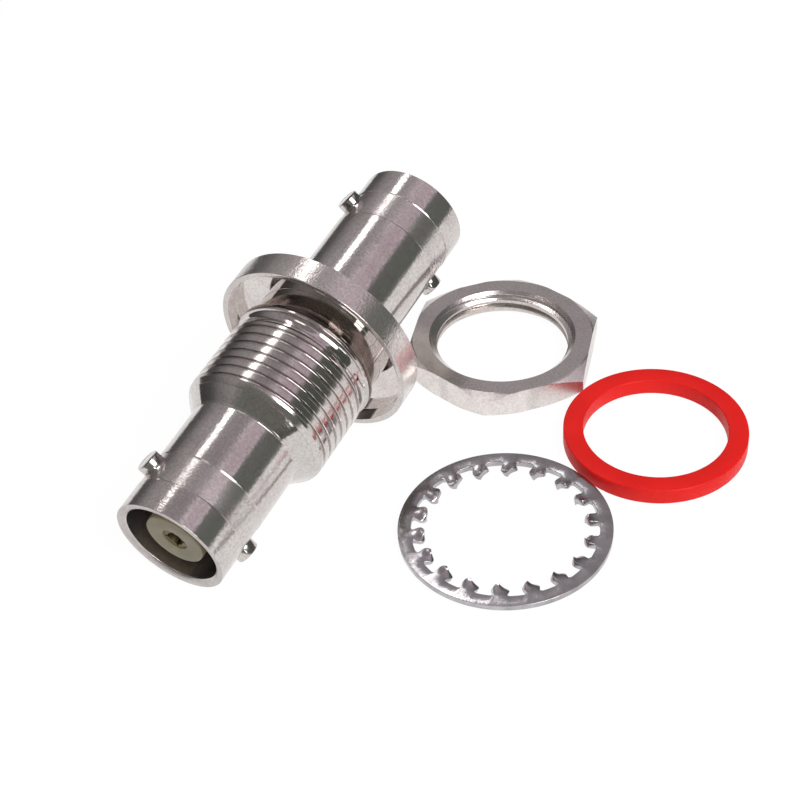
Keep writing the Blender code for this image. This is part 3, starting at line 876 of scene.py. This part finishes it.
class ADAPTER_OT_hex_nut(bpy.types.Operator):
    """Hexagon with turned corners and a threaded bore"""

    bl_idname = "adapter.hex_nut"
    bl_label = "Hex nut"

    def execute(self, context):
        sizes, adapter = context.scene.hardware_sizes, context.scene.adapter_sizes
        height = sizes.nut_thickness
        corner = sizes.nut_flats / 2 / math.cos(math.pi / 6)
        deselect()
        bpy.ops.mesh.primitive_cylinder_add(
            vertices=6, radius=corner, depth=height + BLANK_SPARE, location=(0, 0, height / 2)
        )
        nut = bpy.context.object
        nut.name = nut.data.name = "hex_nut_threaded"
        # A cylinder's first corner is on +Y
        lay(nut, (0, 0, -math.pi / 2), nut.location.copy())
        face, reach = sizes.nut_flats / 2 + CORNER_LAND, corner + CORNER_REACH
        rise = (reach - face) * math.tan(CORNER_SLOPE)
        outline = [(0, 0), (face, 0), (reach, rise), (reach, height - rise), (face, height), (0, height)]
        combine(nut, turned("turned_corners", outline, adapter.turn_steps, closed=False), "INTERSECT")
        tap = threaded(
            "tap", adapter.thread_radius + TAP_PLAY, TAP_ROOT, adapter.thread_pitch, TAP_CREST_SHARE,
            TAP_START, TAP_STEPS, (-TAP_OVERRUN, 0, 0), (height + TAP_OVERRUN, 0, 0), 0,
        )
        combine(nut, tap, "DIFFERENCE")
        for base, way in ((0, 1), (height, -1)):
            before, into = base - way * FLARE_BEFORE, base + way * FLARE_INTO
            outline = [(0, before), (FLARE_WIDE, before), (FLARE_NARROW, into), (0, into)]
            combine(nut, turned("countersink", outline, adapter.turn_steps, closed=False), "DIFFERENCE")
        smooth(nut, angle=math.radians(24))
        place = foot_of("hex_nut")
        lay(nut, (0, 0, sizes.nut_turn), place)
        nickel = nickel_finish("Nickel plate on the nut", place, FLAT, NUT_ZONES, base_roughness=0.16)
        hand_over(nut, nickel, "nickel_plate", "hex_nut")
        return {"FINISHED"}


class ADAPTER_OT_lock_washer(bpy.types.Operator):
    """Flat ring with twisted teeth around its inside"""

    bl_idname = "adapter.lock_washer"
    bl_label = "Lock washer"

    def execute(self, context):
        sizes, colours = context.scene.hardware_sizes, context.scene.adapter_colours
        half = sizes.washer_thickness / 2
        sector = 2 * math.pi / sizes.tooth_count
        inner, outer = sizes.washer_root, sizes.washer_radius
        corners = ((inner, -half), (outer, -half), (outer, half), (inner, half))
        washer = drawn("lock_washer_stamped", [Vector((radius, 0, rise)) for radius, rise in corners], True)
        bpy.ops.mesh.remove_doubles(threshold=WELD)
        bpy.ops.transform.rotate(value=sector / 2, orient_axis="Z", center_override=(0, 0, 0))
        bpy.ops.mesh.spin(steps=SECTOR_STEPS, angle=-sector, center=(0, 0, 0), axis=(0, 0, 1))
        bpy.ops.mesh.select_all(action="SELECT")
        bpy.ops.mesh.normals_make_consistent(inside=False)
        bpy.ops.mesh.select_mode(type="FACE")
        bpy.ops.mesh.select_all(action="DESELECT")
        bpy.ops.object.mode_set(mode="OBJECT")
        tooth_half = sector * TOOTH_STEPS / SECTOR_STEPS
        for polygon in washer.data.polygons:
            middle = polygon.center
            inward = math.hypot(middle.x, middle.y) < inner + WALL_PLAY
            polygon.select = inward and abs(math.atan2(middle.y, middle.x)) < tooth_half
        bpy.ops.object.mode_set(mode="EDIT")
        reach = inner - sizes.washer_tip
        before, narrow = 0.0, 1.0
        for share, width in TOOTH_SHARES:
            gain = share - before
            bpy.ops.mesh.extrude_region_move(TRANSFORM_OT_translate={"value": (-gain * reach, 0, 0)})
            bpy.ops.transform.resize(value=(1, width / narrow, 1), center_override=(0, 0, 0))
            bpy.ops.transform.rotate(
                value=-sizes.tooth_twist * gain, orient_axis="X", center_override=(0, 0, 0)
            )
            before, narrow = share, width
        bpy.ops.mesh.select_all(action="SELECT")
        bpy.ops.mesh.spin(
            steps=sizes.tooth_count, angle=2 * math.pi, center=(0, 0, 0), axis=(0, 0, 1), dupli=True
        )
        clean(washer)
        round_edges(washer, WASHER_ROUND, 3, WASHER_CORNER)
        smooth(washer, angle=math.radians(35))
        lowest = min(vertex.co.z for vertex in washer.data.vertices)
        place = foot_of("lock_washer")
        lay(washer, (0, 0, sizes.washer_turn), place - Vector((0, 0, lowest)))
        fresh = tuple(colours.steel)
        material, shader = plain_finish(
            "Washer steel", place, FLAT, fresh, tuple(0.7 * part for part in fresh), sizes=(0.3, 1.6),
            roughness=(0.25, 0.75, 0.18, 0.28), relief=0.008 * MM, wear=(0.3, 0.7),
        )
        shader.inputs["Metallic"].default_value = 1
        hand_over(washer, material, "washer_steel", "lock_washer")
        return {"FINISHED"}


class ADAPTER_OT_sealing_ring(bpy.types.Operator):
    """Flat silicone ring"""

    bl_idname = "adapter.sealing_ring"
    bl_label = "Sealing ring"

    def execute(self, context):
        sizes, colours = context.scene.hardware_sizes, context.scene.adapter_colours
        bore, outside, top = sizes.ring_bore, sizes.ring_radius, sizes.ring_thickness
        outline = [(bore, 0), (outside, 0), (outside, top), (bore, top)]
        ring = turned("sealing_ring", outline, RING_STEPS)
        round_edges(ring, RING_ROUND, 4)
        smooth(ring)
        place = foot_of("gasket")
        lay(ring, FLAT, place)
        material, shader = plain_finish(
            "Red silicone", place, FLAT, tuple(colours.silicone), (0.8, 0.008, 0.005), sizes=(0.25, 4.0),
            roughness=(0.25, 0.75, 0.42, 0.56), relief=0.008 * MM, wear=(0.35, 0.75), pitted=True,
        )
        shader.inputs["Specular IOR Level"].default_value = 0.3
        hand_over(ring, material, "red_silicone", "gasket")
        return {"FINISHED"}


def add_lamp(name, azimuth, elevation, sides, radiance):
    """A soft box that faces the origin, with its first side along the adapter."""
    away = away_at(math.radians(azimuth), math.radians(elevation))
    deselect()
    bpy.ops.object.light_add(type="AREA", location=away * LAMP_DISTANCE)
    lamp = bpy.context.object
    lamp.name = name
    across = away.cross(AXIS).normalized()
    lamp.rotation_euler = Matrix((across.cross(away), across, away)).transposed().to_euler()
    lamp.data.shape = "RECTANGLE"
    lamp.data.size, lamp.data.size_y = sides
    lamp.data.energy = radiance * math.pi * sides[0] * sides[1]


class ADAPTER_OT_stage(bpy.types.Operator):
    """White floor, soft lamps and the camera"""

    bl_idname = "adapter.stage"
    bl_label = "Stage"

    def execute(self, context):
        settings = context.scene.stage_settings
        deselect()
        bpy.ops.mesh.primitive_plane_add(size=1)
        floor = bpy.context.object
        lay(floor, (0, 0, FLOOR_TURN), FLOOR_PLACE)
        floor.name = floor.data.name = "floor"
        self.paint_floor(floor, settings)
        self.light_room(context)
        for lamp in LAMPS:
            add_lamp(*lamp)
        self.aim_camera(context, settings)
        context.scene.view_settings.view_transform = "Standard"
        return {"FINISHED"}

    def paint_floor(self, floor, settings):
        """White to the camera and in mirrors, and a plain surface that catches the shadows."""
        material, make, shader = finish("White table")
        shader.inputs["Base Color"].default_value = (0.86, 0.86, 0.86, 1)
        shader.inputs["Roughness"].default_value = 1
        shader.inputs["Specular IOR Level"].default_value = 0
        glow = make.add("ShaderNodeEmission", {"Strength": FLOOR_GLOW})
        plain = make.add("ShaderNodeMixShader", {0: 1 - settings.shadow_share})
        both = make.add("ShaderNodeMixShader")
        path = make.add("ShaderNodeLightPath").outputs
        mirrored = make.math("MAXIMUM", path["Is Glossy Ray"], path["Is Transmission Ray"])
        seen = make.math("MAXIMUM", path["Is Camera Ray"], mirrored)
        make.feed(plain.inputs[1], shader.outputs[0])
        make.feed(plain.inputs[2], glow.outputs[0])
        make.feed(both.inputs[0], seen)
        make.feed(both.inputs[1], shader.outputs[0])
        make.feed(both.inputs[2], plain.outputs[0])
        make.feed(material.node_tree.nodes["Material Output"].inputs["Surface"], both.outputs[0])
        floor.data.materials.append(material)

    def light_room(self, context):
        """A room for the metal to mirror, white where the camera sees past the floor."""
        world = bpy.data.worlds.new("Room")
        context.scene.world = world
        world.use_nodes = True
        make = Nodes(world.node_tree)
        background = world.node_tree.nodes["Background"]
        direction = make.add("ShaderNodeTexCoord").outputs["Generated"]
        parts = make.add("ShaderNodeSeparateXYZ", {"Vector": direction}).outputs
        walls = []
        for stops in ROOM:
            ramp = make.add("ShaderNodeValToRGB", {"Fac": parts["Z"]})
            points = ramp.color_ramp.elements
            while len(points) < len(stops):
                points.new(0.5)
            for point, (place, shade) in zip(points, stops):
                point.position = place
                point.color = (*shade, 1)
            walls.append(ramp.outputs["Color"])
        wall = make.blend(make.between(parts["Y"], -0.15, 0.15), walls[1], walls[0])
        for towards, low, high, shade in ROOM_AREAS:
            near = make.add("ShaderNodeVectorMath", {0: direction, 1: towards}, operation="DOT_PRODUCT")
            wall = make.blend(make.between(near.outputs["Value"], low, high), wall, shade)
        path = make.add("ShaderNodeLightPath").outputs
        make.feed(background.inputs["Color"], make.blend(path["Is Camera Ray"], wall, (1, 1, 1)))
        background.inputs["Strength"].default_value = 1

    def aim_camera(self, context, settings):
        back = away_at(settings.azimuth, settings.elevation)
        deselect()
        bpy.ops.object.camera_add(location=Vector(settings.aim) + back * settings.distance)
        camera = bpy.context.object
        upright = back.to_track_quat("Z", "Y").to_matrix()
        camera.rotation_euler = (upright @ Matrix.Rotation(settings.roll, 3, "Z")).to_euler()
        camera.data.lens = settings.lens
        camera.data.sensor_width = 36
        camera.data.clip_start, camera.data.clip_end = 0.01, 10
        context.scene.camera = camera


class ADAPTER_PT_panel(bpy.types.Panel):
    """The adapter's pieces and their sizes"""

    bl_idname = "ADAPTER_PT_panel"
    bl_label = "Bayonet panel adapter"
    bl_space_type = "VIEW_3D"
    bl_region_type = "UI"
    bl_category = "Adapter"

    def draw(self, context):
        layout = self.layout
        for operator in OPERATORS:
            layout.operator(operator.bl_idname)
        for name, kind in SETTINGS.items():
            box = layout.box()
            for label in kind.__annotations__:
                box.prop(getattr(context.scene, name), label)


OPERATORS = (
    ADAPTER_OT_front_shell,
    ADAPTER_OT_rear_barrel,
    ADAPTER_OT_insulators,
    ADAPTER_OT_centre_contact,
    ADAPTER_OT_hex_nut,
    ADAPTER_OT_lock_washer,
    ADAPTER_OT_sealing_ring,
    ADAPTER_OT_stage,
)
SETTINGS = {
    "adapter_sizes": AdapterSizes,
    "hardware_sizes": HardwareSizes,
    "adapter_colours": FinishColours,
    "stage_settings": StageSettings,
}


def register():
    for kind in SETTINGS.values():
        bpy.utils.register_class(kind)
    for kind in (*OPERATORS, ADAPTER_PT_panel):
        bpy.utils.register_class(kind)
    for name, kind in SETTINGS.items():
        setattr(bpy.types.Scene, name, PointerProperty(type=kind))


def unregister():
    for name in SETTINGS:
        delattr(bpy.types.Scene, name)
    for kind in (ADAPTER_PT_panel, *reversed(OPERATORS)):
        bpy.utils.unregister_class(kind)
    for kind in reversed(SETTINGS.values()):
        bpy.utils.unregister_class(kind)


def main():
    register()
    bpy.ops.adapter.front_shell()
    bpy.ops.adapter.rear_barrel()
    bpy.ops.adapter.insulators()
    bpy.ops.adapter.centre_contact()
    bpy.ops.adapter.hex_nut()
    bpy.ops.adapter.lock_washer()
    bpy.ops.adapter.sealing_ring()
    bpy.ops.adapter.stage()


if __name__ == "__main__":
    main()
